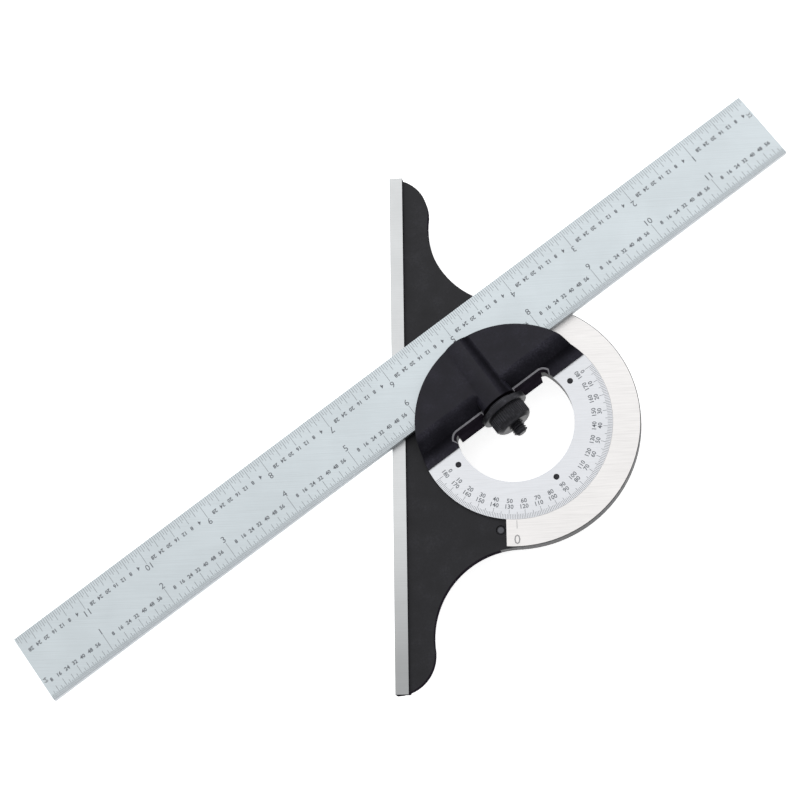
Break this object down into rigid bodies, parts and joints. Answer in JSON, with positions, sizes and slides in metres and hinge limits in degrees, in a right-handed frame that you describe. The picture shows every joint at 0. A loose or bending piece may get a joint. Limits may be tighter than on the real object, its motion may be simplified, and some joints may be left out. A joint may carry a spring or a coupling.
{
  "type": "protractor square",
  "caption": "Combination-set protractor head: a cast shouldered base with a revolving turret that clamps a graduated steel rule with a hook bolt and knurled nut.",
  "frame": {"origin": "middle of the base's working face, halfway through the base's depth", "axes": "+X from the working face towards the turret axis, +Y along the base, +Z out of the graduated side"},
  "size_m": [0.2634, 0.198, 0.0256],
  "materials": {
    "black_casting": "black wrinkle enamel with machined bright faces",
    "satin_chrome": "satin chrome",
    "scale_plate": "satin chrome",
    "black_steel": "black oxide",
    "spring_steel": "drawn wire",
    "plain_steel": "turned",
    "brass": "drawn tube",
    "vial_glass": "clear",
    "vial_liquid": "yellow-green spirit",
    "black_plug": "matte"
  },
  "bodies": {
    "head": {"head_frame": "black_casting"},
    "turret": {"turret_body": "black_casting", "degree_scale": "scale_plate", "scale_pin_left": "black_steel", "scale_pin_middle": "black_steel", "scale_pin_right": "black_steel", "clamp_spring": "spring_steel", "nut_washer": "black_steel", "vial_sleeve": "brass", "vial_glass": "vial_glass", "vial_liquid": "vial_liquid", "vial_plug_left": "black_plug", "vial_plug_right": "black_plug"},
    "blade": {"rule": "satin_chrome"},
    "bolt": {"hook_bolt": "black_steel"},
    "nut": {"clamp_nut": "black_steel"},
    "lower_shoe": {"lock_shoe_lower": "plain_steel", "lock_washer_lower": "plain_steel"},
    "lower_screw": {"lock_screw_lower": "black_steel"},
    "upper_shoe": {"lock_shoe_upper": "plain_steel", "lock_washer_upper": "plain_steel"},
    "upper_screw": {"lock_screw_upper": "black_steel"}
  },
  "joints": [
    {"name": "turret_turn", "type": "hinge", "parent": "head", "child": "turret", "pos_m": [0.041, 0, 0.008], "axis": [0, 0, 1], "continuous": true},
    {"name": "rule_slide", "type": "slide", "parent": "turret", "child": "blade", "axis": [0.8161, 0.5779, 0], "range_m": [-0.095, 0.145]},
    {"name": "nut_turn", "type": "hinge", "parent": "turret", "child": "nut", "pos_m": [0.041, 0, 0.0092], "axis": [0.5779, -0.8161, 0], "range_deg": [0, 541]},
    {"name": "bolt_draw", "type": "slide", "parent": "turret", "child": "bolt", "axis": [-0.5779, 0.8161, 0], "range_m": [0, 0.0012]},
    {"name": "lower_lift", "type": "slide", "parent": "head", "child": "lower_shoe", "axis": [0, 0, -1], "range_m": [0, 0.0005]},
    {"name": "lower_lock_turn", "type": "hinge", "parent": "lower_shoe", "child": "lower_screw", "pos_m": [0.0355, -0.03578, 0], "axis": [0, 0, -1], "range_deg": [0, 361]},
    {"name": "upper_lift", "type": "slide", "parent": "head", "child": "upper_shoe", "axis": [0, 0, -1], "range_m": [0, 0.0005]},
    {"name": "upper_lock_turn", "type": "hinge", "parent": "upper_shoe", "child": "upper_screw", "pos_m": [0.0355, 0.03578, 0], "axis": [0, 0, -1], "range_deg": [0, 361]}
  ],
  "couplings": [
    {"joint": "nut_turn", "follows": "bolt_draw", "rad_per_m": 7854},
    {"joint": "lower_lock_turn", "follows": "lower_lift", "rad_per_m": 12566},
    {"joint": "upper_lock_turn", "follows": "upper_lift", "rad_per_m": 12566}
  ]
}
